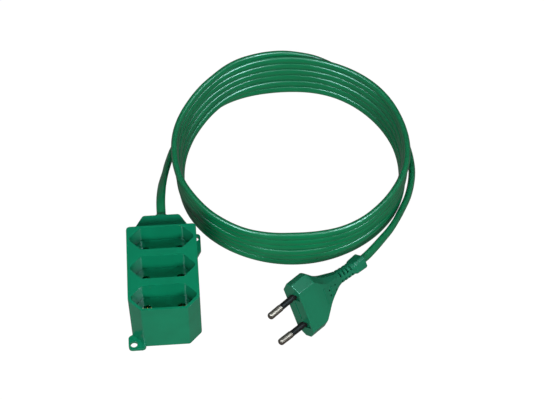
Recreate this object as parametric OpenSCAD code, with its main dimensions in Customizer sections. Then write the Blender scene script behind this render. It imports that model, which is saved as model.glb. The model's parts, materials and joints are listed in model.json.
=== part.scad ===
// Three-way extension cord: a socket block for flat two-pin plugs, a coiled flat
// two-core cord and a moulded flat two-pin plug.
// Frame: origin at the bottom centre of the socket block, +Z up from its base,
// +Y along the block towards the end where the cord leaves. Millimetres.

/* [Socket block] */
// Width of the block across its two long walls
body_w = 38.8; // [38.4:0.1:42]
// Length of the flat top face
face_l = 54.4; // [54:0.1:58]
// Height of the top face above the base
body_h = 39; // [36:0.5:44]
// Leg of the two corner chamfers at the near end
tip_chamfer = 6.9; // [5:0.1:7.5]
// Wall thickness of the housing
wall = 1.8; // [1.5:0.1:2]
// Thickness of the base cover and its lugs
base_t = 2.5; // [2:0.1:3]

/* [Recesses] */
// Length of a recess from apex to apex
recess_w = 37.2; // [37:0.1:37.4]
// Length of a recess's straight sides
recess_flat = 23.1; // [22:0.1:24]
// Width of a recess between its straight sides
recess_l = 14.3; // [14:0.1:15]
// Radius of a recess's corners
recess_corner = 2.2; // [1:0.1:2.4]
// Depth of a recess
recess_depth = 12.9; // [12:0.1:14]
// Spacing of the three recesses
recess_pitch = 18.9; // [18.8:0.1:19.2]
// Spacing of the two pin holes in a recess
pin_gap = 19; // [18.6:0.1:19.2]
// Diameter of a pin hole
pin_hole_d = 5; // [4.6:0.1:5.4]

/* [Hood and lugs] */
// Length of the cord hood behind the top face
hood_l = 13; // [12:0.5:14]
// Height of the cord hood
hood_h = 30; // [29:0.5:31]
// Width of the hood where it meets the block
hood_w = 36; // [34:0.1:36.4]
// Width of the hood at its rear wall
hood_rear_w = 20.6; // [20:0.1:22]
// Reach of the lugs past the near end of the block
lug_reach = 2.5; // [2.4:0.1:3]
// Diameter of the holes in the lugs
lug_hole_d = 4; // [3.5:0.1:4.5]

/* [Cord] */
// Width of the flat cord
cord_w = 5.2; // [5:0.1:5.4]
// Thickness of the flat cord
cord_t = 3.2; // [3:0.1:3.4]
// Radius of the coil at its middle
coil_r = 65.5; // [64:0.5:66]
// Radial thickness of the coil
coil_t = 7.5; // [7:0.5:8]
// Turns of the coil, counted at the gland side
coil_turns = 6; // [5:1:6]

/* [Plug] */
// Width of the plug's head
plug_w = 35.3; // [35:0.1:35.6]
// Thickness of the plug's head
plug_t = 13.7; // [13.4:0.1:14]
// Length of the plug's moulding, front face to collar end
plug_l = 51.4; // [51:0.1:53]
// Length of the pins in front of the head
pin_l = 19; // [18:0.1:19.5]
// Diameter of the bare end of a pin
pin_d = 4; // [3.9:0.01:4.06]
// Heading of the plug's axis, from +Y towards +X
plug_heading = 49.5; // [48:0.5:50]
// Dip of the plug's axis towards the cord
plug_dip = 5; // [4.5:0.5:6]
// Roll of the plug about its axis, 0 lying flat
plug_roll = 57; // [56:0.5:58]

/* [Hidden] */
$fn = 48;

block_green = [0.07, 0.46, 0.31];
cord_green = [0.06, 0.41, 0.23];
brass = [0.78, 0.62, 0.30];
nickel = [0.62, 0.58, 0.54];
steel = [0.72, 0.73, 0.74];
sleeve_black = [0.14, 0.14, 0.14];
core_brown = [0.35, 0.20, 0.12];
core_blue = [0.12, 0.30, 0.60];

// The block stands centred between the outer edges of its two lugs.
lug_x = body_w / 2 + 2.2;
lug_rear_reach = lug_reach + 1.4;
half_l = (lug_reach + face_l + hood_l + lug_rear_reach) / 2;
tip_y = -half_l + lug_reach;
face_y = tip_y + face_l;
hood_y = face_y + hood_l;
corner_r = 2;

// The rows of recesses and what lies beneath them
row_count = 3;
near_rim = 1.2;
row_y = [for (i = [0:row_count - 1]) tip_y + near_rim + recess_l / 2 + i * recess_pitch];
recess_floor = body_h - recess_depth;
cavity_top = recess_floor - wall;
rib_wall = 1.5;

// Brass parts: the pin tips stop just above the busbars.
bus_x = pin_gap / 2;
bus_z = recess_floor - pin_l - 1.1;
bus_t = 1;
bus_w = 5;
contact_r = 3;
contact_top = cavity_top - 1.3;
foot_t = 0.8;
rivet_back = 4.6;
terminal_x = 9;
terminal_y = face_y - 4.4;
terminal_size = [4.4, 6.4, 6];
core_r = 1.1;

// Screws
screw_r = 1.45;
screw_head_r = 2.9;
boss_r = 2.6;
boss_places = [[0, row_y[0] + recess_pitch / 2], [0, row_y[1] + recess_pitch / 2],
    [-14.9, face_y - 3.6], [14.9, face_y - 3.6]];
lug_hole = [lug_x - 3, half_l - 3];

// Cord entry
gland_z = hood_h - 5.6;
dome_r = 5.35;
dome_h = 3.9;
dome_ball_r = (dome_r * dome_r + dome_h * dome_h) / (2 * dome_h);
neck_r = 3.6;
clamp_y = hood_y - 4.6;
clamp_x = 6.4;
clamp_screw_r = 1.25;
entry_y = hood_y - 8;
dome_y = hood_y + dome_h;

// Coil: it lies on the floor beside the block.
coil_at = [78, 80];
coil_h = (coil_turns + 0.5) * cord_w;

// Free stretches of the cord, each point with the cord's roll in degrees:
// 0 with its wide side up, 90 standing on edge.
lead_route = [
    [[0, dome_y, gland_z], 0], [[0, 46, 23.8], 4], [[0.4, 55, 20.6], 16],
    [[1.2, 65, 15.6], 34], [[2.8, 76, 10.2], 55], [[5.2, 88, 6], 74],
    [[9.4, 101, 3.6], 86], [[19.5, 115, 2.8], 90]];
tail_route = [
    [[115.4, 137.7, 21], 90], [[123.6, 132.5, 17.2], 90], [[131.3, 126.2, 13.2], 90], [[138, 118.8, 9.4], 90],
    [[143.7, 110.5, 6], 90], [[147.9, 101.3, 3.6], 90], [[150.6, 91.4, 2.7], 90], [[151.4, 82, 2.6], 90],
    [[151, 72.5, 2.6], 90], [[148.8, 62.3, 2.6], 90], [[145.6, 53.5, 2.8], 90], [[141.4, 45.2, 3.8], 88],
    [[136.8, 36.7, 5.4], 84], [[132, 29, 7.2], 77], [[127, 22.4, 8.9], 70], [[121.4, 15.4, 10.6], 63],
    [[116.4, 9.7, 11.8], 59]];

// Plug: its own frame has +Y towards the cord and the pins in front of y = 0.
plug_at = [73.2, -27.7, 17.1];
plug_corner = 4.6;
pin_x = 9.3;
pin_lean = 1.66;
pin_core_r = 1.5;
sleeve_r = 1.8;
sleeve_l = 10;
sleeve_in = 3;
pin_tail = 9;
relief_r = 3.3;
collar_l = 7.4;
crimp_l = 4;
bridge_y = 2;
bridge_size = [25, 8.6, 8];
bridge_end = bridge_y + bridge_size[1];

// ---------- outlines and sweeps ----------

// The outline pts with every corner replaced by an arc of radius r
function rounded(pts, r, steps = 4) = [
    for (i = [0:len(pts) - 1])
        let (
            n = len(pts),
            p = pts[i],
            u = unit(pts[(i + n - 1) % n] - p),
            v = unit(pts[(i + 1) % n] - p),
            half = acos(u * v) / 2,
            c = p + unit(u + v) * r / sin(half),
            s = p + u * r / tan(half) - c,
            e = p + v * r / tan(half) - c,
            a = atan2(s[1], s[0]),
            turn = (atan2(e[1], e[0]) - a + 540) % 360 - 180
        )
        for (k = [0:steps]) c + r * [cos(a + turn * k / steps), sin(a + turn * k / steps)]
];

function unit(v) = v / norm(v);

// Points of an ellipse with half axes a and b
function ellipse_pts(a, b, n) = [for (i = [0:n - 1]) [a * cos(360 * i / n), b * sin(360 * i / n)]];

// Direction of a route at its point i
function route_dir(p, i) = unit(p[min(i + 1, len(p) - 1)] - p[max(i - 1, 0)]);

// The section pts, rolled and set square to the route at its point i
function ring_at(p, i, pts, roll, ref) =
    let (
        t = route_dir(p, i),
        side = unit(cross(t, ref)),
        up = cross(side, t),
        x = side * cos(roll) + up * sin(roll),
        y = up * cos(roll) - side * sin(roll)
    )
    [for (q = pts) p[i] + x * q[0] + y * q[1]];

// Solid skinned over rings that all have the same number of points
module skin(rings) {
    n = len(rings[0]);
    m = len(rings);
    polyhedron(
        points = [for (r = rings) each r],
        faces = [
            [for (j = [0:n - 1]) n - 1 - j],
            [for (j = [0:n - 1]) (m - 1) * n + j],
            for (i = [0:m - 2]) for (j = [0:n - 1]) each [
                [i * n + j, (i + 1) * n + (j + 1) % n, (i + 1) * n + j],
                [i * n + j, i * n + (j + 1) % n, (i + 1) * n + (j + 1) % n]
            ]
        ]
    );
}

// Tube of the elliptical section a by b along a route of [point, roll] pairs
module tube(route, a, b, sides, ref = [0, 0, 1]) {
    p = [for (q = route) q[0]];
    skin([for (i = [0:len(p) - 1]) ring_at(p, i, ellipse_pts(a, b, sides), route[i][1], ref)]);
}

// Cylinder of radius r along +Y from y = a to y = b
module along_y(r, a, b) {
    translate([0, a, 0]) rotate([-90, 0, 0]) cylinder(r = r, h = b - a);
}

// Prism of the outline pts from z = a to z = b
module prism(pts, a, b) {
    translate([0, 0, a]) linear_extrude(b - a) polygon(pts);
}

// Flat cord section, wide along X, as a straight length along +Y from a to b
module cord_stub(a, b) {
    translate([0, b, 0]) rotate([90, 0, 0]) linear_extrude(b - a) union() {
        square([cord_w - cord_t, cord_t], center = true);
        for (s = [-1, 1]) translate([s * (cord_w - cord_t) / 2, 0]) circle(d = cord_t);
    }
}

// ---------- socket block ----------

// Plan of the block under its top face, drawn inset by d
function block_plan(d) =
    let (
        w = body_w / 2 - d,
        c = tip_chamfer - 0.586 * d,
        y0 = tip_y + d,
        y1 = face_y - d
    )
    rounded([[-w + c, y0], [w - c, y0], [w, y0 + c], [w, y1], [-w, y1], [-w, y0 + c]],
        corner_r - 0.5 * d);

// Plan of the cord hood, running into the block so that the two join
hood_plan = rounded([[-hood_w / 2, face_y - 4], [hood_w / 2, face_y - 4], [hood_w / 2, face_y],
    [hood_rear_w / 2, hood_y], [-hood_rear_w / 2, hood_y], [-hood_w / 2, face_y]], corner_r);

// Plan of the hollow in the hood
hood_hollow_plan = rounded([[-hood_w / 2 + 2 * wall, face_y - 0.1], [hood_w / 2 - 2 * wall, face_y - 0.1],
    [hood_rear_w / 2 - wall, hood_y - wall], [-hood_rear_w / 2 + wall, hood_y - wall]], corner_r - 0.5 * wall);

// Plan of a recess around its centre
recess_plan = rounded([[-recess_w / 2, 0], [-recess_flat / 2, -recess_l / 2], [recess_flat / 2, -recess_l / 2],
    [recess_w / 2, 0], [recess_flat / 2, recess_l / 2], [-recess_flat / 2, recess_l / 2]], recess_corner);

// Plan of the lug at the near left corner
near_lug_plan = rounded([[-lug_x, -half_l], [-lug_x + 9.7, -half_l], [-lug_x + 9.7, tip_y + 3],
    [-lug_x + 5, tip_y + 8], [-lug_x, tip_y + 5.2]], 2);

// Plan of the lug at the far right corner
far_lug_plan = rounded([[lug_x, half_l], [lug_x - 9.7, half_l], [lug_x - 12.7, hood_y - 3],
    [lug_x - 10, face_y - 3], [lug_x - 3.5, face_y - 0.5], [lug_x, face_y + 6]], 2);

module at_bosses() {
    for (p = boss_places) translate([p[0], p[1], 0]) children();
}

module at_clamp_screws() {
    for (s = [-1, 1]) translate([s * clamp_x, clamp_y, 0]) children();
}

module socket_housing() {
    color(block_green) difference() {
        union() {
            difference() {
                union() {
                    prism(block_plan(0), base_t, body_h);
                    prism(hood_plan, base_t, hood_h);
                }
                prism(block_plan(wall), base_t - 1, cavity_top);
                prism(hood_hollow_plan, base_t - 1, hood_h - wall);
                housing_passage();
                rib_slots();
            }
            translate([0, 0, base_t]) at_bosses() cylinder(r = boss_r, h = cavity_top - base_t + 0.1);
            clamp_posts();
        }
        for (y = row_y) translate([0, y, 0]) {
            prism(recess_plan, recess_floor, body_h + 1);
            for (s = [-1, 1]) translate([s * bus_x, 0, cavity_top - 1]) cylinder(d = pin_hole_d, h = wall + 2);
        }
        at_bosses() translate([0, 0, base_t - 1]) cylinder(r = screw_r, h = 13.5);
        at_clamp_screws() translate([0, 0, gland_z - 4]) cylinder(r = clamp_screw_r, h = 6.4);
        translate([0, 0, gland_z]) along_y(neck_r, hood_y - wall - 1, hood_y + 1);
    }
}

// Opening through the wall between the block's cavity and the hood
module housing_passage() {
    half = hood_rear_w / 2 + 1.3;
    translate([-half, face_y - wall - 1, base_t - 1]) cube([2 * half, wall + 1.5, cavity_top - 4]);
}

// Hollows inside the two ribs between the recesses
module rib_slots() {
    slot_l = recess_pitch - recess_l - 2 * rib_wall;
    for (i = [0:row_count - 2])
        translate([-recess_flat / 2, row_y[i] + recess_pitch / 2 - slot_l / 2, cavity_top - 1])
            cube([recess_flat, slot_l, recess_depth]);
}

// Two posts and a rib under the hood's roof, which the clamp pulls the cord against
module clamp_posts() {
    roof = hood_h - wall;
    at_clamp_screws() translate([0, 0, gland_z - cord_t / 2]) cylinder(r = 2.3, h = roof - gland_z + cord_t / 2 + 0.1);
    translate([-clamp_x, clamp_y - 1.5, gland_z + cord_t / 2])
        cube([2 * clamp_x, 3, roof - gland_z - cord_t / 2 + 0.1]);
}

module base_cover() {
    color(block_green) difference() {
        union() {
            prism(block_plan(0), 0, base_t);
            prism(hood_plan, 0, base_t);
            prism(near_lug_plan, 0, base_t);
            prism(far_lug_plan, 0, base_t);
            busbar_ribs();
        }
        for (s = [-1, 1]) translate([s * lug_hole[0], s * lug_hole[1], -1]) cylinder(d = lug_hole_d, h = base_t + 2);
        at_bosses() {
            translate([0, 0, -1]) cylinder(r = screw_r, h = base_t + 2);
            translate([0, 0, -1]) cylinder(r = screw_head_r, h = 1.2);
            translate([0, 0, 0.2]) cylinder(r1 = screw_head_r, r2 = screw_r, h = 1.45);
        }
    }
}

// Ribs on the base cover that carry the busbars
module busbar_ribs() {
    for (s = [-1, 1]) for (y = row_y)
        translate([s * bus_x - 3.5, y - 1, base_t - 0.1]) cube([7, 2, bus_z - base_t + 0.1]);
}

module housing_screws() {
    color(steel) at_bosses() difference() {
        union() {
            translate([0, 0, 0.2]) cylinder(r1 = screw_head_r, r2 = screw_r, h = 1.45);
            translate([0, 0, 1]) cylinder(r = screw_r, h = 11.5);
        }
        for (a = [0, 90]) rotate([0, 0, a]) translate([-1.8, -0.35, 0]) cube([3.6, 0.7, 1]);
    }
}

// ---------- brass parts ----------

module busbar(side) {
    color(brass) difference() {
        translate([side * bus_x - bus_w / 2, tip_y + wall + 0.3, bus_z])
            cube([bus_w, terminal_y + terminal_size[1] - tip_y - wall - 0.3, bus_t]);
        for (y = row_y) translate([side * bus_x, y - rivet_back, bus_z - 1]) cylinder(r = 1, h = 3);
        translate([side * terminal_x, terminal_y + 3.2, bus_z - 1]) cylinder(r = clamp_screw_r, h = 3);
    }
}

// Slotted sleeve that grips a pin, on a foot riveted to the busbar
module contact(side, row) {
    z = bus_z + bus_t;
    color(brass) translate([side * bus_x, row_y[row - 1], z]) difference() {
        union() {
            cylinder(r = contact_r, h = contact_top - z);
            translate([-2, -rivet_back - 1.6, 0]) cube([4, rivet_back, foot_t]);
        }
        translate([0, 0, -1]) cylinder(r = pin_d / 2, h = contact_top);
        translate([-0.4, -contact_r - 1, 3]) cube([0.8, 2 * contact_r + 2, contact_top]);
        translate([0, -rivet_back, -1]) cylinder(r = 1, h = 3);
    }
}

module contact_rivets() {
    color(steel) for (s = [-1, 1]) for (y = row_y) translate([s * bus_x, y - rivet_back, bus_z]) {
        translate([0, 0, -0.7]) cylinder(r = 1.5, h = 0.7);
        cylinder(r = 1, h = bus_t + foot_t);
        translate([0, 0, bus_t + foot_t]) cylinder(r = 1.4, h = 0.6);
    }
}

// Pillar terminal: the core goes in from the rear, the screw comes up through the busbar
module terminal(side) {
    z = bus_z + bus_t;
    color(brass) translate([side * terminal_x, terminal_y, z]) difference() {
        translate([-terminal_size[0] / 2, 0, 0]) cube(terminal_size);
        translate([0, 0, 3.6]) along_y(core_r, 1.2, terminal_size[1] + 1);
        translate([0, 3.2, -1]) cylinder(r = clamp_screw_r, h = 3.5);
    }
}

module terminal_screws() {
    color(steel) for (s = [-1, 1]) translate([s * terminal_x, terminal_y + 3.2, bus_z - 1.4]) difference() {
        union() {
            cylinder(r = 2.1, h = 1.4);
            cylinder(r = clamp_screw_r, h = 1.4 + bus_t + 2.4);
        }
        translate([-3, -0.3, -1]) cube([6, 0.6, 1.6]);
    }
}

// ---------- cord entry ----------

// Bush in the hood's rear wall: flange inside, dome outside, slot for the flat cord
module cord_gland() {
    color(block_green) translate([0, 0, gland_z]) difference() {
        union() {
            translate([-6, hood_y - wall - 1, -3.7]) cube([12, 1, 7.4]);
            along_y(neck_r, hood_y - wall - 0.1, hood_y + 0.1);
            translate([0, hood_y, 0]) rotate([-90, 0, 0]) rotate_extrude() intersection() {
                translate([0, dome_h - dome_ball_r]) circle(r = dome_ball_r);
                square(dome_ball_r);
            }
        }
        cord_stub(hood_y - 6, dome_y + 1);
    }
}

module cord_clamp() {
    color(block_green) difference() {
        translate([-clamp_x - 2.6, clamp_y - 2.2, gland_z - cord_t / 2 - 3]) cube([2 * clamp_x + 5.2, 4.4, 3]);
        at_clamp_screws() translate([0, 0, gland_z - 7]) cylinder(r = clamp_screw_r, h = 6);
    }
}

module clamp_screws() {
    z = gland_z - cord_t / 2 - 3;
    color(steel) at_clamp_screws() difference() {
        union() {
            translate([0, 0, z - 1.6]) cylinder(r = 2.3, h = 1.6);
            translate([0, 0, z - 0.1]) cylinder(r = clamp_screw_r, h = 6.9);
        }
        translate([-3, -0.35, z - 2]) cube([6, 0.7, 1.2]);
    }
}

// Sheathed end of the cord inside the hood and the gland
module cord_entry() {
    color(cord_green) translate([0, 0, gland_z]) cord_stub(entry_y, dome_y);
}

// Insulated core from the sheath's end round to its terminal
module core(side) {
    z = bus_z + bus_t + 3.6;
    y = terminal_y + terminal_size[1];
    points = [[1.4, entry_y, gland_z], [1.9, entry_y - 2.2, gland_z - 0.8], [3.2, entry_y - 3.4, gland_z - 3.6],
        [5, entry_y - 3, gland_z - 7.2], [7, entry_y - 1, z + 4.2], [8.4, entry_y + 1, z + 2.2],
        [terminal_x, entry_y + 1.5, z + 0.9], [terminal_x, entry_y + 0.4, z + 0.1], [terminal_x, y, z],
        [terminal_x, y - 4, z]];
    color(side < 0 ? core_brown : core_blue)
        tube([for (p = points) [[side * p[0], p[1], p[2]], 0]], core_r, core_r, 8, [1, 0, 0.2]);
}

// ---------- free cord ----------

module cord_lead() {
    color(cord_green) tube(lead_route, cord_w / 2, cord_t / 2, 10);
}

// Outer shape of the wound turns
module cord_coil() {
    color(cord_green) translate([coil_at[0], coil_at[1], 0]) rotate_extrude($fn = 96)
        translate([coil_r - coil_t / 2, 0]) square([coil_t, coil_h]);
}

module cord_tail() {
    end = [plug_point([0, plug_l, 0]), plug_roll];
    color(cord_green) tube(concat(tail_route, [end]), cord_w / 2, cord_t / 2, 10);
}

// ---------- plug ----------

// A point of the plug's own frame in the frame of the whole cord
function plug_point(p) =
    let (
        a = [p[0] * cos(plug_roll) + p[2] * sin(plug_roll), p[1], p[2] * cos(plug_roll) - p[0] * sin(plug_roll)],
        b = [a[0], a[1] * cos(plug_dip) + a[2] * sin(plug_dip), a[2] * cos(plug_dip) - a[1] * sin(plug_dip)]
    )
    plug_at + [b[0] * cos(plug_heading) + b[1] * sin(plug_heading),
        b[1] * cos(plug_heading) - b[0] * sin(plug_heading), b[2]];

// Sets its children, drawn in the plug's own frame, where the plug lies
module at_plug() {
    translate(plug_at) rotate([0, 0, -plug_heading]) rotate([-plug_dip, 0, 0]) rotate([0, plug_roll, 0]) children();
}

// Octagonal section of the moulding at y, half axes a and b, corners cut by c
function plug_ring(y, a, b, c) = [for (q = [[a, b - c], [a - c, b], [c - a, b], [-a, b - c],
    [-a, c - b], [c - a, -b], [a - c, -b], [a, c - b]]) [q[0], y, q[1]]];

// Length along the plug, half width, half thickness and corner cut of the moulding
head_w = plug_w / 2;
head_t = plug_t / 2;
plug_stations = [
    [0, head_w - 0.5, head_t - 0.5, plug_corner - 0.3], [0.6, head_w, head_t, plug_corner],
    [11.4, head_w, head_t, plug_corner], [13, head_w - 1.4, head_t - 0.1, plug_corner],
    [15.5, 13.4, 6.6, 4.2], [18.5, 10.4, 6.2, 3.8], [22, 8, 5.6, 3.2], [26, 5.9, 4.8, 2.4],
    [30, 4.3, 3.9, 1.8], [33, relief_r, relief_r, 1.4], [plug_l - collar_l, relief_r, relief_r, 1.4],
    [plug_l - collar_l + 0.8, 3.4, 3.7, 1], [plug_l - 0.6, 3.7, 4.1, 1], [plug_l, 3.4, 3.8, 1]];

module plug_body() {
    color(block_green) at_plug() difference() {
        skin([for (s = plug_stations) plug_ring(s[0], s[1], s[2], s[3])]);
        for (s = [-1, 1]) pin_axis(s) {
            along_y(3, -1, 0.6);
            along_y(sleeve_r, -1, sleeve_in);
        }
        plug_cavity();
        relief_slots();
        cord_stub(plug_l - 16, plug_l + 1);
    }
}

// Sets its children on the axis of the pin on that side
module pin_axis(side) {
    translate([side * pin_x, 0, 0]) rotate([0, 0, -side * pin_lean]) children();
}

// Hollow inside the moulding for the bridge, the crimps and the cores
module plug_cavity() {
    bridge_block();
    translate([-11.6, bridge_end - 0.1, -2.1]) cube([23.2, crimp_l + 0.1, 4.2]);
    skin([for (q = [[bridge_end + crimp_l - 0.2, 10.4], [bridge_end + 10, 7], [bridge_end + 14, 5], [plug_l - 15.9, 2.6]])
        [for (k = [[1, 1], [-1, 1], [-1, -1], [1, -1]]) [k[0] * q[1], q[0], k[1] * 1.3]]]);
}

// Rings of slots round the strain relief
module relief_slots() {
    for (i = [0:3]) translate([0, 33.8 + 2.5 * i, 0]) for (s = [-1, 1]) {
        translate([-2.6, 0, s * 2.95 - 0.5]) cube([2.3, 1.1, 1]);
        translate([0.3, 0, s * 2.95 - 0.5]) cube([2.3, 1.1, 1]);
    }
}

module bridge_block() {
    translate([-bridge_size[0] / 2, bridge_y, -bridge_size[2] / 2]) cube(bridge_size);
}

// Stiff insert that holds the two pins at their spacing
module plug_bridge() {
    color([0.2, 0.2, 0.2]) at_plug() difference() {
        bridge_block();
        for (s = [-1, 1]) pin_axis(s) {
            along_y(pin_core_r, 0, 20);
            along_y(sleeve_r, 0, sleeve_in);
        }
    }
}

module pin(side) {
    bare = pin_l - sleeve_l;
    nose = 1.4;
    color(nickel) at_plug() pin_axis(side) rotate([-90, 0, 0]) rotate_extrude() union() {
        translate([0, -sleeve_l]) square([pin_core_r, sleeve_l + pin_tail]);
        translate([0, -pin_l + nose]) square([pin_d / 2, bare - nose]);
        translate([0, -pin_l]) square([pin_d / 2 - nose, nose + 0.1]);
        translate([pin_d / 2 - nose, -pin_l + nose]) intersection() {
            circle(r = nose);
            translate([0, -nose]) square([nose, nose]);
        }
    }
}

module sleeve(side) {
    color(sleeve_black) at_plug() pin_axis(side) difference() {
        along_y(sleeve_r, -sleeve_l, sleeve_in);
        along_y(pin_core_r, -sleeve_l - 1, sleeve_in + 1);
    }
}

// Crimped socket that joins a pin's tail to its core
module plug_crimp(side) {
    color(brass) at_plug() translate([side * 9, 0, 0]) difference() {
        along_y(2, bridge_end, bridge_end + crimp_l - 0.2);
        along_y(core_r, bridge_end + 1.4, bridge_end + crimp_l + 1);
    }
}

// Insulated core from a crimp to the sheath's end
module plug_core(side) {
    y = bridge_end + 1.4;
    points = [[9, y], [9, y + 3.4], [8, y + 5.6], [5.4, y + 9], [3.4, y + 13], [1.9, y + 18],
        [1.4, y + 20.5], [1.4, plug_l - 16]];
    color(side < 0 ? core_brown : core_blue) at_plug()
        tube([for (p = points) [[side * p[0], p[1], 0], 0]], core_r, core_r, 8);
}

// Sheathed end of the cord inside the strain relief
module plug_cord_end() {
    color(cord_green) at_plug() cord_stub(plug_l - 16, plug_l);
}

socket_housing();
base_cover();
housing_screws();
busbar(-1);  // busbar_left
busbar(1);  // busbar_right
contact(-1, 1);  // contact_left_1
contact(-1, 2);  // contact_left_2
contact(-1, 3);  // contact_left_3
contact(1, 1);  // contact_right_1
contact(1, 2);  // contact_right_2
contact(1, 3);  // contact_right_3
contact_rivets();
terminal(-1);  // terminal_left
terminal(1);  // terminal_right
terminal_screws();
cord_gland();
cord_clamp();
clamp_screws();
cord_entry();
core(-1);  // core_left
core(1);  // core_right
cord_lead();
cord_coil();
cord_tail();
plug_body();
plug_bridge();
plug_cord_end();
pin(-1);  // pin_upper
pin(1);  // pin_lower
sleeve(-1);  // sleeve_upper
sleeve(1);  // sleeve_lower
plug_crimp(-1);  // plug_crimp_upper
plug_crimp(1);  // plug_crimp_lower
plug_core(-1);  // plug_core_upper
plug_core(1);  // plug_core_lower
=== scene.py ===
"""Looks of the three-way extension cord: cord, plug moulding, materials, camera and light."""
import json
import math

import bmesh
import bpy
import numpy as np
from mathutils import Matrix, Vector


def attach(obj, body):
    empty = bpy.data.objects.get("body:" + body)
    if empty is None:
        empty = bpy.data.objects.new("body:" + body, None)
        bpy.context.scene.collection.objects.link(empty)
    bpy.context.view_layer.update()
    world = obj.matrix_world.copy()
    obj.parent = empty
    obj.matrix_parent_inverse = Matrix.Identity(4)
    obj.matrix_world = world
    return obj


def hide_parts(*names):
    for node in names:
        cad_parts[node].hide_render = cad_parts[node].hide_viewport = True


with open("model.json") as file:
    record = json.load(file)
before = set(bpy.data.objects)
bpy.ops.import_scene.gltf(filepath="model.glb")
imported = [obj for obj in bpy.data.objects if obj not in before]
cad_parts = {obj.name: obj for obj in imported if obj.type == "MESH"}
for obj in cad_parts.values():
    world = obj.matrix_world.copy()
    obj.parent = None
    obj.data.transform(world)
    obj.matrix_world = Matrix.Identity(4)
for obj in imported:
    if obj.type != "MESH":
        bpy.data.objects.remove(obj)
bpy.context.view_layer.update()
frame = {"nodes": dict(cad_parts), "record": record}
nodes = frame["nodes"]
MM = 0.001

# ---------- sizes, in millimetres unless a name says otherwise ----------

# Flat cord: width, thickness, corner radius, and how far its wide sides bulge. Its turns stand on edge,
# so they rise by one width each
CORD_W = 5.2
CORD_T = 3.2
CORD_CORNER = 1.55
CORD_FULL = 0.45
CORNER_STEPS = 4
# Spacing of the cord mesh's rings, and the points per control that its curve is worked out at
RING_STEP = 2.4
SPLINE_STEPS = 12

# The cord from the gland to the coil: point, then roll in degrees (0 wide side up, 90 on edge)
LEAD = [
    ((0, 36.9, 24.4), 0), ((0, 46, 23.8), 4), ((0.4, 55, 20.6), 16), ((1.2, 65, 15.6), 34),
    ((2.8, 76, 10.2), 55), ((5.2, 88, 6), 74), ((9.4, 101, 3.6), 86), ((19.5, 115, 2.8), 90),
]
# The cord from the top of the coil, down its outside and along the floor to the plug
TAIL = [
    ((78.5, 147.7, 29.4), 90), ((88, 147, 28.2), 90), ((97.6, 145.2, 26.6), 90), ((106.6, 141.9, 24.2), 90),
    ((115.4, 137.7, 21), 90), ((123.6, 132.5, 17.2), 90), ((131.3, 126.2, 13.2), 90),
    ((138, 118.8, 9.4), 90), ((143.7, 110.5, 6), 90), ((147.9, 101.3, 3.6), 90), ((150.6, 91.4, 2.7), 90),
    ((151.4, 82, 2.6), 90), ((151, 72.5, 2.6), 90), ((148.8, 62.3, 2.6), 90), ((145.6, 53.5, 2.8), 90),
    ((141.4, 45.2, 3.8), 88), ((136.8, 36.7, 5.4), 84), ((132, 29, 7.2), 77), ((127, 22.4, 8.9), 70),
    ((121.4, 15.4, 10.6), 63), ((116.4, 9.7, 11.8), 59),
]

# Coil: centre, half axes of a turn, and how far the lowest and the highest turn stand outside them,
# at every SWELL_STEP degrees clockwise from above, starting on the block's side
SWELL_STEP = 30
COIL_AT = (78.5, 78.7)
COIL_AXES = (66.2, 64.2)
LOW_SWELL = (0.2, 0, 0.6, -0.5, 0.6, 0.2, 0.4, 0.7, 0.5, 0.9, 0.8, 1.2)
TOP_SWELL = (2.6, 1.4, 1, 1, 0.6, 1.5, 0.9, 1.6, 2.1, 0.7, 2.5, 3.3)
# Turns that climb to a next one, and the part of a turn, in degrees, over which each climbs
TURNS = 5
CLIMB_FROM = -5
CLIMB_OVER = 65
# Where the even winding starts, stops and is sampled, in degrees
COIL_FROM = 46
COIL_TO = 360 * TURNS + 331
COIL_STEP = 12
# Places where the winding leaves its ellipse: angle, spread in degrees, and shift outwards.
# The first slides inwards over the lead, the second bulges where the lead comes in
SLIDES = [(400, 30, -1.4), (45, 22, 1.9)]
# How far each turn wanders in and out, in two waves
WANDER = (0.28, 0.2)
# The top turn where it crosses the others and leaves the stack: angle, radius, height
LAST_TURN = [
    (340, 69.3, 28.6), (350, 69.3, 28.7), (360, 69.1, 28.9), (370, 68.9, 29.5), (380, 68.1, 30.4),
    (390, 66.9, 31.6), (400, 66.2, 32.7), (410, 65.9, 33.3), (418, 66.8, 33), (426, 67.9, 32),
    (434, 68.5, 30.9), (442, 68.9, 30.1),
]

# Plug: where its front face's middle is, and its heading, dip and roll in degrees
PLUG_AT = (73.2, -27.7, 17.1)
PLUG_HEADING = 49.5
PLUG_DIP = 5
PLUG_ROLL = 57
PLUG_L = 51.4


# ---------- small helpers ----------

def smoothstep(t):
    t = min(max(t, 0), 1)
    return t * t * (3 - 2 * t)


def plug_matrix():
    """From the plug's own frame, +Y towards the cord, to the frame of the whole cord, in millimetres."""
    turn = (
        Matrix.Rotation(math.radians(-PLUG_HEADING), 4, "Z")
        @ Matrix.Rotation(math.radians(-PLUG_DIP), 4, "X")
        @ Matrix.Rotation(math.radians(PLUG_ROLL), 4, "Y")
    )
    return Matrix.Translation(PLUG_AT) @ turn


PLUG = plug_matrix()


def new_object(name, verts, faces, material, place=None):
    """A mesh object from points in millimetres, set in place by a matrix if one is given."""
    mesh = bpy.data.meshes.new(name)
    points = [Vector(v) for v in verts]
    if place is not None:
        points = [place @ p for p in points]
    mesh.from_pydata([tuple(p * MM) for p in points], [], faces)
    mesh.validate()
    mesh.update()
    obj = bpy.data.objects.new(name, mesh)
    bpy.context.scene.collection.objects.link(obj)
    if material is not None:
        mesh.materials.append(material)
    return obj


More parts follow.
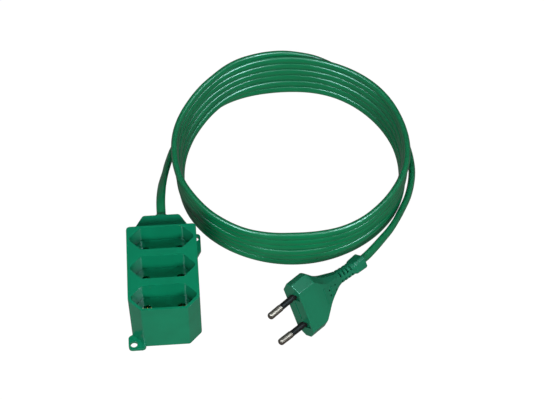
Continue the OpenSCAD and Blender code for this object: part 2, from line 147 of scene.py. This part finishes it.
def skin_faces(rings, around):
    """Faces of a closed skin over that many rings of points, with a cap at each end."""
    faces = []
    for i in range(rings - 1):
        for j in range(around):
            k = (j + 1) % around
            faces.append((i * around + j, i * around + k, (i + 1) * around + k, (i + 1) * around + j))
    faces.append(tuple(reversed(range(around))))
    faces.append(tuple((rings - 1) * around + j for j in range(around)))
    return faces


def recalculated(obj):
    """Turns every face outward."""
    bm = bmesh.new()
    bm.from_mesh(obj.data)
    bmesh.ops.recalc_face_normals(bm, faces=bm.faces)
    bm.to_mesh(obj.data)
    bm.free()
    return obj


def smooth(obj, angle):
    """Smooth shading with the edges sharper than angle kept."""
    mesh = obj.data
    mesh.polygons.foreach_set("use_smooth", [True] * len(mesh.polygons))
    mesh.set_sharp_from_angle(angle=math.radians(angle))


# ---------- materials ----------

def shader(name, colour, roughness, metallic=0.0, specular=0.5):
    """A Principled material; returns the material, its tree and its shader node."""
    material = bpy.data.materials.new(name)
    material.use_nodes = True
    tree = material.node_tree
    bsdf = tree.nodes["Principled BSDF"]
    bsdf.inputs["Base Color"].default_value = (*colour, 1)
    bsdf.inputs["Roughness"].default_value = roughness
    bsdf.inputs["Metallic"].default_value = metallic
    bsdf.inputs["Specular IOR Level"].default_value = specular
    return material, tree, bsdf


def noise(tree, scale, detail=2.0):
    """Noise in object coordinates; scale is in cells per metre."""
    coords = tree.nodes.new("ShaderNodeTexCoord")
    texture = tree.nodes.new("ShaderNodeTexNoise")
    texture.inputs["Scale"].default_value = scale
    texture.inputs["Detail"].default_value = detail
    tree.links.new(coords.outputs["Object"], texture.inputs["Vector"])
    return texture.outputs["Fac"]


def vary_colour(tree, bsdf, factor, dark, light):
    """The base colour runs from dark to light with the factor."""
    ramp = tree.nodes.new("ShaderNodeValToRGB")
    ramp.color_ramp.elements[0].position = 0.3
    ramp.color_ramp.elements[0].color = (*dark, 1)
    ramp.color_ramp.elements[1].position = 0.7
    ramp.color_ramp.elements[1].color = (*light, 1)
    tree.links.new(factor, ramp.inputs["Fac"])
    tree.links.new(ramp.outputs["Color"], bsdf.inputs["Base Color"])


def vary_roughness(tree, bsdf, factor, low, high):
    spread = tree.nodes.new("ShaderNodeMapRange")
    spread.inputs["To Min"].default_value = low
    spread.inputs["To Max"].default_value = high
    tree.links.new(factor, spread.inputs["Value"])
    tree.links.new(spread.outputs["Result"], bsdf.inputs["Roughness"])


def add_bump(tree, bsdf, factor, depth_mm, strength):
    bump = tree.nodes.new("ShaderNodeBump")
    bump.inputs["Distance"].default_value = depth_mm * MM
    bump.inputs["Strength"].default_value = strength
    tree.links.new(factor, bump.inputs["Height"])
    tree.links.new(bump.outputs["Normal"], bsdf.inputs["Normal"])


def shade(colour, by):
    return tuple(c * by for c in colour)


def plastic(name, colour, rough=(0.12, 0.2), grain=900, depth_mm=0.01, specular=0.5):
    """Moulded plastic: faint mottling of the colour, uneven gloss and a fine surface ripple."""
    material, tree, bsdf = shader(name, colour, rough[0], specular=specular)
    vary_colour(tree, bsdf, noise(tree, 60), shade(colour, 0.92), shade(colour, 1.06))
    vary_roughness(tree, bsdf, noise(tree, 180, 3), *rough)
    add_bump(tree, bsdf, noise(tree, grain, 4), depth_mm, 0.35)
    return material


def metal(name, colour, rough=(0.2, 0.35)):
    """Plated or bare metal with small stains and uneven gloss."""
    material, tree, bsdf = shader(name, colour, rough[0], metallic=1.0)
    vary_colour(tree, bsdf, noise(tree, 300, 3), shade(colour, 0.86), colour)
    vary_roughness(tree, bsdf, noise(tree, 1200, 3), *rough)
    add_bump(tree, bsdf, noise(tree, 900), 0.0004, 0.25)
    return material


GREEN_BLOCK = (0.0035, 0.215, 0.105)
GREEN_CORD = (0.0022, 0.172, 0.064)
GREEN_PLUG = (0.006, 0.165, 0.082)
BLACK = (0.012, 0.012, 0.012)
CHARCOAL = (0.03, 0.03, 0.03)
block_plastic = plastic("block_plastic", GREEN_BLOCK, specular=0.24)
cord_sheath = plastic(
    "cord_sheath", GREEN_CORD, rough=(0.29, 0.34), grain=220, depth_mm=0.0004, specular=0.4
)
plug_plastic = plastic("plug_plastic", GREEN_PLUG, rough=(0.26, 0.36), grain=1100, specular=0.4)
sleeve_plastic = plastic("sleeve_plastic", BLACK, rough=(0.36, 0.46), depth_mm=0.004, specular=0.1)
insert_plastic = plastic("insert_plastic", CHARCOAL, rough=(0.45, 0.6))
core_brown = plastic("core_brown", (0.10, 0.035, 0.015), rough=(0.4, 0.5))
core_blue = plastic("core_blue", (0.015, 0.07, 0.30), rough=(0.4, 0.5))
pin_nickel = metal("pin_nickel", (0.21, 0.15, 0.12), rough=(0.44, 0.52))
brass = metal("brass", (0.62, 0.42, 0.14))
zinc_steel = metal("zinc_steel", (0.55, 0.56, 0.58))

MATERIAL_OF_SLOT = {
    "block_plastic": block_plastic, "cover_plastic": block_plastic, "gland_plastic": block_plastic,
    "plug_plastic": plug_plastic, "cord_sheath": cord_sheath, "insert_plastic": insert_plastic,
    "sleeve_plastic": sleeve_plastic, "pin_nickel": pin_nickel, "brass": brass, "zinc_steel": zinc_steel,
    "core_brown": core_brown, "core_blue": core_blue,
}
for part in frame["record"]["subparts"]:
    mesh = nodes[part["node"]].data
    mesh.materials.clear()
    mesh.materials.append(MATERIAL_OF_SLOT[part["material_slot"]])


# ---------- cord ----------

def swell(table, angle):
    """Value of a round table at an angle in degrees, eased between its entries."""
    at = (angle % 360) / SWELL_STEP
    i = int(at)
    t = smoothstep(at - i)
    return table[i] * (1 - t) + table[(i + 1) % len(table)] * t


def bump(at, centre, width, height):
    """A bell-shaped rise."""
    return height * math.exp(-(((at - centre) / width) ** 2))


def from_polar(angle, radius, z):
    a = math.radians(angle)
    return (COIL_AT[0] - radius * math.cos(a), COIL_AT[1] + radius * math.sin(a), z)


def coil_point(angle):
    """Middle of the cord at an angle in degrees along the winding, clockwise from above."""
    level = sum(smoothstep((angle - 360 * k - CLIMB_FROM) / CLIMB_OVER) for k in range(1, TURNS + 1))
    a = math.radians(angle)
    radius = 1 / math.hypot(math.cos(a) / COIL_AXES[0], math.sin(a) / COIL_AXES[1])
    share = level / TURNS
    radius += swell(LOW_SWELL, angle) * (1 - share) + swell(TOP_SWELL, angle) * share
    radius += sum(bump(angle, *slide) for slide in SLIDES)
    turn = angle / 360
    radius += WANDER[0] * math.sin(2.3 * turn * turn + 2 * a) + WANDER[1] * math.sin(3 * a + 4.1 * turn)
    return from_polar(angle, radius, CORD_W / 2 + CORD_W * level)


def cord_controls():
    """Points and rolls that the whole cord runs through."""
    controls = list(LEAD)
    for angle in range(COIL_FROM, COIL_TO, COIL_STEP):
        controls.append((coil_point(angle), 90))
    for angle, radius, z in LAST_TURN:
        controls.append((from_polar(angle, radius, z), 90))
    controls += TAIL
    controls.append((tuple(PLUG @ Vector((0, PLUG_L, 0))), PLUG_ROLL))
    return np.array([(*point, roll) for point, roll in controls], float)


def spline(controls, step):
    """Centripetal Catmull-Rom curve through the controls, at even steps."""
    ghost_a = 2 * controls[0] - controls[1]
    ghost_b = 2 * controls[-1] - controls[-2]
    p = np.vstack([ghost_a, controls, ghost_b])
    out = []
    for i in range(1, len(p) - 2):
        gaps = [math.sqrt(max(np.linalg.norm(p[j + 1][:3] - p[j][:3]), 1e-6)) for j in (i - 1, i, i + 1)]
        t = np.cumsum([0.0, *gaps])
        for s in np.linspace(t[1], t[2], SPLINE_STEPS, endpoint=False):
            a1 = (t[1] - s) / (t[1] - t[0]) * p[i - 1] + (s - t[0]) / (t[1] - t[0]) * p[i]
            a2 = (t[2] - s) / (t[2] - t[1]) * p[i] + (s - t[1]) / (t[2] - t[1]) * p[i + 1]
            a3 = (t[3] - s) / (t[3] - t[2]) * p[i + 1] + (s - t[2]) / (t[3] - t[2]) * p[i + 2]
            b1 = (t[2] - s) / (t[2] - t[0]) * a1 + (s - t[0]) / (t[2] - t[0]) * a2
            b2 = (t[3] - s) / (t[3] - t[1]) * a2 + (s - t[1]) / (t[3] - t[1]) * a3
            out.append((t[2] - s) / (t[2] - t[1]) * b1 + (s - t[1]) / (t[2] - t[1]) * b2)
    out.append(controls[-1])
    out = np.array(out)
    along = np.concatenate([[0], np.cumsum(np.linalg.norm(np.diff(out[:, :3], axis=0), axis=1))])
    count = int(round(along[-1] / step)) + 1
    even = np.linspace(0, along[-1], count)
    return np.stack([np.interp(even, along, out[:, k]) for k in range(4)], axis=1), along[-1]


def flat_section():
    """Outline of the flat cord, wide along the first axis: round corners and slightly full sides."""
    r = CORD_CORNER
    across = CORD_W / 2 - r
    through = CORD_T / 2 - r
    points = []
    for quarter in range(4):
        sign_x = 1 if quarter in (0, 3) else -1
        sign_y = 1 if quarter in (0, 1) else -1
        for k in range(CORNER_STEPS + 1):
            a = math.radians(90 * (quarter + k / CORNER_STEPS))
            points.append((sign_x * across + r * math.cos(a), sign_y * through + r * math.sin(a)))
        if quarter % 2 == 0:
            points.append((0, sign_y * (CORD_T / 2 + CORD_FULL)))
    return points


def cord_mesh():
    """The whole cord as one skin; returns it with its middle line and length in millimetres."""
    samples, length = spline(cord_controls(), RING_STEP)
    centres = samples[:, :3]
    tangent = np.gradient(centres, axis=0)
    tangent /= np.linalg.norm(tangent, axis=1)[:, None]
    side = np.cross(tangent, [0, 0, 1])
    side /= np.linalg.norm(side, axis=1)[:, None]
    up = np.cross(side, tangent)
    roll = np.radians(samples[:, 3])[:, None]
    wide = side * np.cos(roll) + up * np.sin(roll)
    thin = up * np.cos(roll) - side * np.sin(roll)
    section = flat_section()
    verts = []
    for c, w, n in zip(centres, wide, thin):
        verts += [c + w * x + n * y for x, y in section]
    obj = new_object("flat_cord", verts, skin_faces(len(centres), len(section)), cord_sheath)
    recalculated(obj)
    smooth(obj, 60)
    return obj, centres, length


cord, cord_path, cord_length = cord_mesh()
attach(cord, "root")
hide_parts("cord_lead", "cord_coil", "cord_tail")
print("cord length, mm:", round(cord_length, 1))


# ---------- housing and other moulded pieces ----------

# Points closer than this are merged, and so are faces within this angle of each other, in degrees;
# then the steps of a rounded edge
WELD_MM = 0.005
FLAT_ANGLE = 1.0
EDGE_STEPS = 2


def soften(name, width_mm, angle=30):
    """Rounds the edges of a CAD node that are sharper than angle, and evens out its shading."""
    obj = nodes[name]
    obj.data.polygons.foreach_set("use_smooth", [True] * len(obj.data.polygons))
    weld = obj.modifiers.new("weld", "WELD")
    weld.merge_threshold = WELD_MM * MM
    flatten = obj.modifiers.new("flatten", "DECIMATE")
    flatten.decimate_type = "DISSOLVE"
    flatten.angle_limit = math.radians(FLAT_ANGLE)
    bevel = obj.modifiers.new("bevel", "BEVEL")
    bevel.width = width_mm * MM
    bevel.segments = EDGE_STEPS
    bevel.limit_method = "ANGLE"
    bevel.angle_limit = math.radians(angle)
    bevel.use_clamp_overlap = True
    bevel.harden_normals = False
    even = obj.modifiers.new("even", "WEIGHTED_NORMAL")
    even.keep_sharp = False


soften("socket_housing", 0.5)
soften("base_cover", 0.4)
soften("cord_gland", 0.3, angle=40)


# ---------- plug ----------

# The plug's outline from its front face to its collar: distance from the front face, half width,
# half thickness, corner cut and corner radius
PLUG_STATIONS = [
    (0, 17.15, 6.35, 4.5, 0.8), (0.12, 17.4, 6.6, 4.55, 0.8), (0.3, 17.57, 6.77, 4.6, 0.8),
    (0.6, 17.65, 6.85, 4.6, 0.8), (11, 17.65, 6.85, 4.6, 0.8), (11.8, 17.3, 6.84, 4.6, 0.8),
    (13, 16.25, 6.75, 4.6, 0.8), (15.5, 13.4, 6.6, 4.2, 0.8), (18.5, 10.4, 6.2, 3.8, 0.8),
    (22, 8, 5.6, 3.2, 0.9), (26, 5.9, 4.8, 2.4, 1.1), (30, 4.3, 3.9, 1.9, 1.6),
    (33, 3.85, 3.6, 1.8, 2), (38, 3.75, 3.5, 1.8, 2), (43.4, 3.75, 3.5, 1.8, 2),
    (43.6, 3.6, 3.8, 1.1, 0.5), (44.4, 3.7, 4, 1.1, 0.4), (50.8, 3.9, 4.3, 1.1, 0.4),
    (51.2, 3.75, 4.15, 1.1, 0.4), (51.4, 3.4, 3.8, 1.1, 0.4),
]
# Stretch of the plug whose stations are joined by a smooth curve, and the steps between two stations
NECK = (11, 33)
NECK_STEPS = 4
# Where the neck bows, over what spread, and how far
BOW = (29, 9, 1.3)
# Pockets round the pins: spacing, half width, depth, and how far they reach across the plug's thickness
PIN_SPACING = 18.6
POCKET_HALF = 1.9
POCKET_DEEP = 1.2
POCKET_ACROSS = (-0.4, 5.2)
# Groove across the front face: half length, half height and depth
GROOVE = (5.6, 0.5, 0.5)
# Small square sockets on the upper side: where along the plug with its half thickness there,
# distance from the middle, half size and depth
DIMPLES = ((20.1, 5.95), (25.5, 4.95))
DIMPLE_OUT = 1.7
DIMPLE_HALF = 0.5
DIMPLE_DEEP = 1.6
# Ribs on the upper side: lowest and highest corner
RIBS = [((-5.2, 16.05, 5.6), (5.2, 16.75, 6.78)), ((-3.4, 21.65, 4.7), (3.4, 22.35, 5.95))]
# Slots that make the relief bend: their rings, where round the neck, width, inner and outer radius,
# the span of each in degrees and its steps
RELIEF_RINGS = (32.2, 34.95, 37.7, 40.45)
RELIEF_ANGLES = (-46, 46, 134, 226)
RELIEF_SLOT = 1.4
RELIEF_RADII = (1.4, 5.6)
RELIEF_SPAN = 62
RELIEF_STEPS = 7


def rounded(corners, radius, steps=4):
    """A convex outline with each corner replaced by an arc."""
    out = []
    count = len(corners)
    for i, corner in enumerate(corners):
        p = np.array(corner, float)
        u = np.array(corners[i - 1], float) - p
        v = np.array(corners[(i + 1) % count], float) - p
        u /= np.linalg.norm(u)
        v /= np.linalg.norm(v)
        half = math.acos(float(np.clip(u @ v, -1, 1))) / 2
        reach = radius / math.tan(half)
        start, end = p + u * reach, p + v * reach
        middle = p + (u + v) / np.linalg.norm(u + v) * radius / math.sin(half)
        for k in range(steps):
            t = k / (steps - 1)
            spoke = (start - middle) * (1 - t) + (end - middle) * t
            out.append(tuple(middle + spoke / np.linalg.norm(spoke) * radius))
    return out


def plug_ring(y, half_w, half_t, cut, radius):
    corners = [
        (half_w, half_t - cut), (half_w - cut, half_t), (cut - half_w, half_t), (-half_w, half_t - cut),
        (-half_w, cut - half_t), (cut - half_w, -half_t), (half_w - cut, -half_t), (half_w, cut - half_t),
    ]
    return [(x, y, z) for x, z in rounded(corners, radius)]


def bend(y):
    """How far the cord's pull bows the neck towards the upper pin."""
    return bump(y, *BOW)


def plug_rings():
    """Rings of the whole moulding, with the neck's curve filled in between its stations."""
    stations = np.array(PLUG_STATIONS, float)
    rows = []
    for i in range(len(stations) - 1):
        steps = NECK_STEPS if NECK[0] < stations[i][0] < NECK[1] else 1
        before = stations[i - 1] if i else stations[i]
        after = stations[min(i + 2, len(stations) - 1)]
        for k in range(steps):
            t = k / steps
            here, there = stations[i], stations[i + 1]
            gap = there[0] - here[0]
            slope_a = (there - before) / (there[0] - before[0]) * gap
            slope_b = (after - here) / (after[0] - here[0]) * gap
            row = (
                here * (2 * t**3 - 3 * t**2 + 1) + slope_a * (t**3 - 2 * t**2 + t)
                + there * (3 * t**2 - 2 * t**3) + slope_b * (t**3 - t**2)
            )
            rows.append(row if steps > 1 else here)
    rows.append(stations[-1])
    return [[(x - bend(y), y, z) for x, y, z in plug_ring(*row)] for row in rows]


def add_box(verts, faces, low, high):
    start = len(verts)
    verts += [(x, y, z) for x in (low[0], high[0]) for y in (low[1], high[1]) for z in (low[2], high[2])]
    quads = [(0, 1, 3, 2), (4, 6, 7, 5), (0, 4, 5, 1), (2, 3, 7, 6), (0, 2, 6, 4), (1, 5, 7, 3)]
    faces += [tuple(start + k for k in quad) for quad in quads]


def add_arc(verts, faces, y, middle_angle):
    """One curved slot of the relief, on the bowed axis of the neck."""
    start = len(verts)
    inner, outer = RELIEF_RADII
    for k in range(RELIEF_STEPS):
        a = math.radians(middle_angle - RELIEF_SPAN / 2 + RELIEF_SPAN * k / (RELIEF_STEPS - 1))
        for radius, side in ((inner, -1), (outer, -1), (outer, 1), (inner, 1)):
            verts.append((radius * math.sin(a) - bend(y), y + side * RELIEF_SLOT / 2, radius * math.cos(a)))
    for face in skin_faces(RELIEF_STEPS, 4):
        faces.append(tuple(start + k for k in face))


def plug_cuts():
    """What is cut into the plug: pin pockets, the front groove, dimples and the relief's slots.

    Each cut starts 1 mm outside the surface."""
    verts, faces = [], []
    for side in (-1, 1):
        pin = side * PIN_SPACING / 2
        low = (pin - POCKET_HALF, -1, POCKET_ACROSS[0])
        high = (pin + POCKET_HALF, POCKET_DEEP, POCKET_ACROSS[1])
        add_box(verts, faces, low, high)
        for y, half_t in DIMPLES:
            x = side * DIMPLE_OUT
            low = (x - DIMPLE_HALF, y - DIMPLE_HALF, half_t - DIMPLE_DEEP)
            high = (x + DIMPLE_HALF, y + DIMPLE_HALF, half_t + 1)
            add_box(verts, faces, low, high)
    half_l, half_h, deep = GROOVE
    add_box(verts, faces, (-half_l, -1, -half_h), (half_l, deep, half_h))
    for y in RELIEF_RINGS:
        for angle in RELIEF_ANGLES:
            add_arc(verts, faces, y, angle)
    return verts, faces


def plug_ribs():
    verts, faces = [], []
    for low, high in RIBS:
        add_box(verts, faces, low, high)
    return verts, faces


def apply_modifiers(obj):
    graph = bpy.context.evaluated_depsgraph_get()
    mesh = bpy.data.meshes.new_from_object(obj.evaluated_get(graph))
    obj.modifiers.clear()
    obj.data = mesh


def carve(obj, shape, operation):
    """Joins the shape to obj or cuts it out of it, in the plug's frame."""
    tool = recalculated(new_object("tool", *shape, None, PLUG))
    change = obj.modifiers.new("carve", "BOOLEAN")
    change.operation = operation
    change.solver = "EXACT"
    change.object = tool
    apply_modifiers(obj)
    bpy.data.objects.remove(tool)


def plug_moulding():
    rings = plug_rings()
    verts = [p for ring in rings for p in ring]
    faces = skin_faces(len(rings), len(rings[0]))
    obj = recalculated(new_object("plug_moulding", verts, faces, plug_plastic, PLUG))
    carve(obj, plug_ribs(), "UNION")
    carve(obj, plug_cuts(), "DIFFERENCE")
    smooth(obj, 32)
    even = obj.modifiers.new("even", "WEIGHTED_NORMAL")
    even.keep_sharp = True
    return obj


moulding = plug_moulding()
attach(moulding, "root")
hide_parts("plug_body")


# ---------- camera ----------

CAMERA_AT = Vector((19.96, -432.43, 707.61)) * MM
CAMERA_YAW = math.radians(5.318)
CAMERA_PITCH = math.radians(55.068)
CAMERA_ROLL = math.radians(1.065)
CAMERA_LENS = 95.65


def aim_camera():
    forward = Vector((
        math.sin(CAMERA_YAW) * math.cos(CAMERA_PITCH),
        math.cos(CAMERA_YAW) * math.cos(CAMERA_PITCH),
        -math.sin(CAMERA_PITCH),
    ))
    level = Vector((math.cos(CAMERA_YAW), -math.sin(CAMERA_YAW), 0))
    above = level.cross(forward)
    right = level * math.cos(CAMERA_ROLL) + above * math.sin(CAMERA_ROLL)
    up = above * math.cos(CAMERA_ROLL) - level * math.sin(CAMERA_ROLL)
    data = bpy.data.cameras.new("camera")
    data.lens = CAMERA_LENS
    data.sensor_width = 36
    data.sensor_fit = "HORIZONTAL"
    data.clip_start = 0.01
    data.clip_end = 20
    camera = bpy.data.objects.new("camera", data)
    bpy.context.scene.collection.objects.link(camera)
    matrix = Matrix((right, up, -forward)).transposed().to_4x4()
    matrix.translation = CAMERA_AT
    camera.matrix_world = matrix
    bpy.context.scene.camera = camera


aim_camera()


# ---------- floor, light and view ----------

FLOOR_GREY = (0.03, 0.03, 0.03)
FLOOR_PALER = (0.04, 0.04, 0.04)


def add_floor():
    """A floor that glows evenly white to the camera, and neither lights the cord nor shows in its gloss."""
    size = 3.0
    mesh = bpy.data.meshes.new("floor")
    corners = [(-size, -size, 0), (size, -size, 0), (size, size, 0), (-size, size, 0)]
    mesh.from_pydata(corners, [], [(0, 1, 2, 3)])
    floor = bpy.data.objects.new("floor", mesh)
    bpy.context.scene.collection.objects.link(floor)
    material, tree, bsdf = shader("floor_white", FLOOR_GREY, 0.9, specular=0.0)
    vary_colour(tree, bsdf, noise(tree, 4), FLOOR_GREY, FLOOR_PALER)
    bsdf.inputs["Emission Color"].default_value = (1, 1, 1, 1)
    bsdf.inputs["Emission Strength"].default_value = 1.0
    mesh.materials.append(material)
    floor.visible_glossy = False
    floor.visible_diffuse = False


def add_area(name, at, target, size, power, colour=(1, 1, 1)):
    """A rectangular light: place, target and size in metres, power in watts."""
    data = bpy.data.lights.new(name, "AREA")
    data.shape = "RECTANGLE"
    data.size = size[0]
    data.size_y = size[1]
    data.energy = power
    data.color = colour
    light = bpy.data.objects.new(name, data)
    bpy.context.scene.collection.objects.link(light)
    light.location = at
    aim = Vector(target) - Vector(at)
    light.rotation_euler = aim.to_track_quat("-Z", "Y").to_euler()
    return light


COOL = (0.62, 0.88, 1)
# How high the world's horizon reaches and where its zenith starts, as the height of a unit direction
HORIZON_TO = 0.12
ZENITH_FROM = 0.4


def set_world(horizon, zenith):
    """A studio that is paler near the horizon than overhead."""
    world = bpy.data.worlds.new("studio")
    bpy.context.scene.world = world
    world.use_nodes = True
    tree = world.node_tree
    background = tree.nodes["Background"]
    background.inputs["Strength"].default_value = 1.0
    coords = tree.nodes.new("ShaderNodeTexCoord")
    axes = tree.nodes.new("ShaderNodeSeparateXYZ")
    ramp = tree.nodes.new("ShaderNodeValToRGB")
    ramp.color_ramp.elements[0].position = HORIZON_TO
    ramp.color_ramp.elements[0].color = (horizon, horizon, horizon, 1)
    ramp.color_ramp.elements[1].position = ZENITH_FROM
    ramp.color_ramp.elements[1].color = (zenith, zenith, zenith, 1)
    tree.links.new(coords.outputs["Generated"], axes.inputs["Vector"])
    tree.links.new(axes.outputs["Z"], ramp.inputs["Fac"])
    tree.links.new(ramp.outputs["Color"], background.inputs["Color"])


add_floor()
# Soft fills that light the surfaces, and two cool panels seen only as highlights
fill_left = add_area("fill_left", (-0.35, -0.90, 0.82), (0.05, 0.05, 0), (0.4, 0.3), 8.6)
fill_right = add_area("fill_right", (0.50, -0.90, 0.82), (0.05, 0.05, 0), (0.4, 0.3), 9.0)
fill_top = add_area("fill_top", (0.05, 0.15, 1.30), (0.05, 0.02, 0), (0.5, 0.4), 3.3)
for light in (fill_left, fill_right, fill_top):
    light.visible_glossy = False
glint_left = add_area("glint_left", (-0.48, -0.33, 1.20), (0.08, 0.08, 0), (0.42, 0.5), 34, COOL)
glint_right = add_area("glint_right", (0.70, -0.30, 1.20), (0.08, 0.08, 0), (0.42, 0.5), 40, COOL)
for light in (glint_left, glint_right):
    light.visible_diffuse = False
set_world(0.22, 0.06)
bpy.context.scene.view_settings.view_transform = "Standard"
bpy.context.scene.view_settings.look = "None"
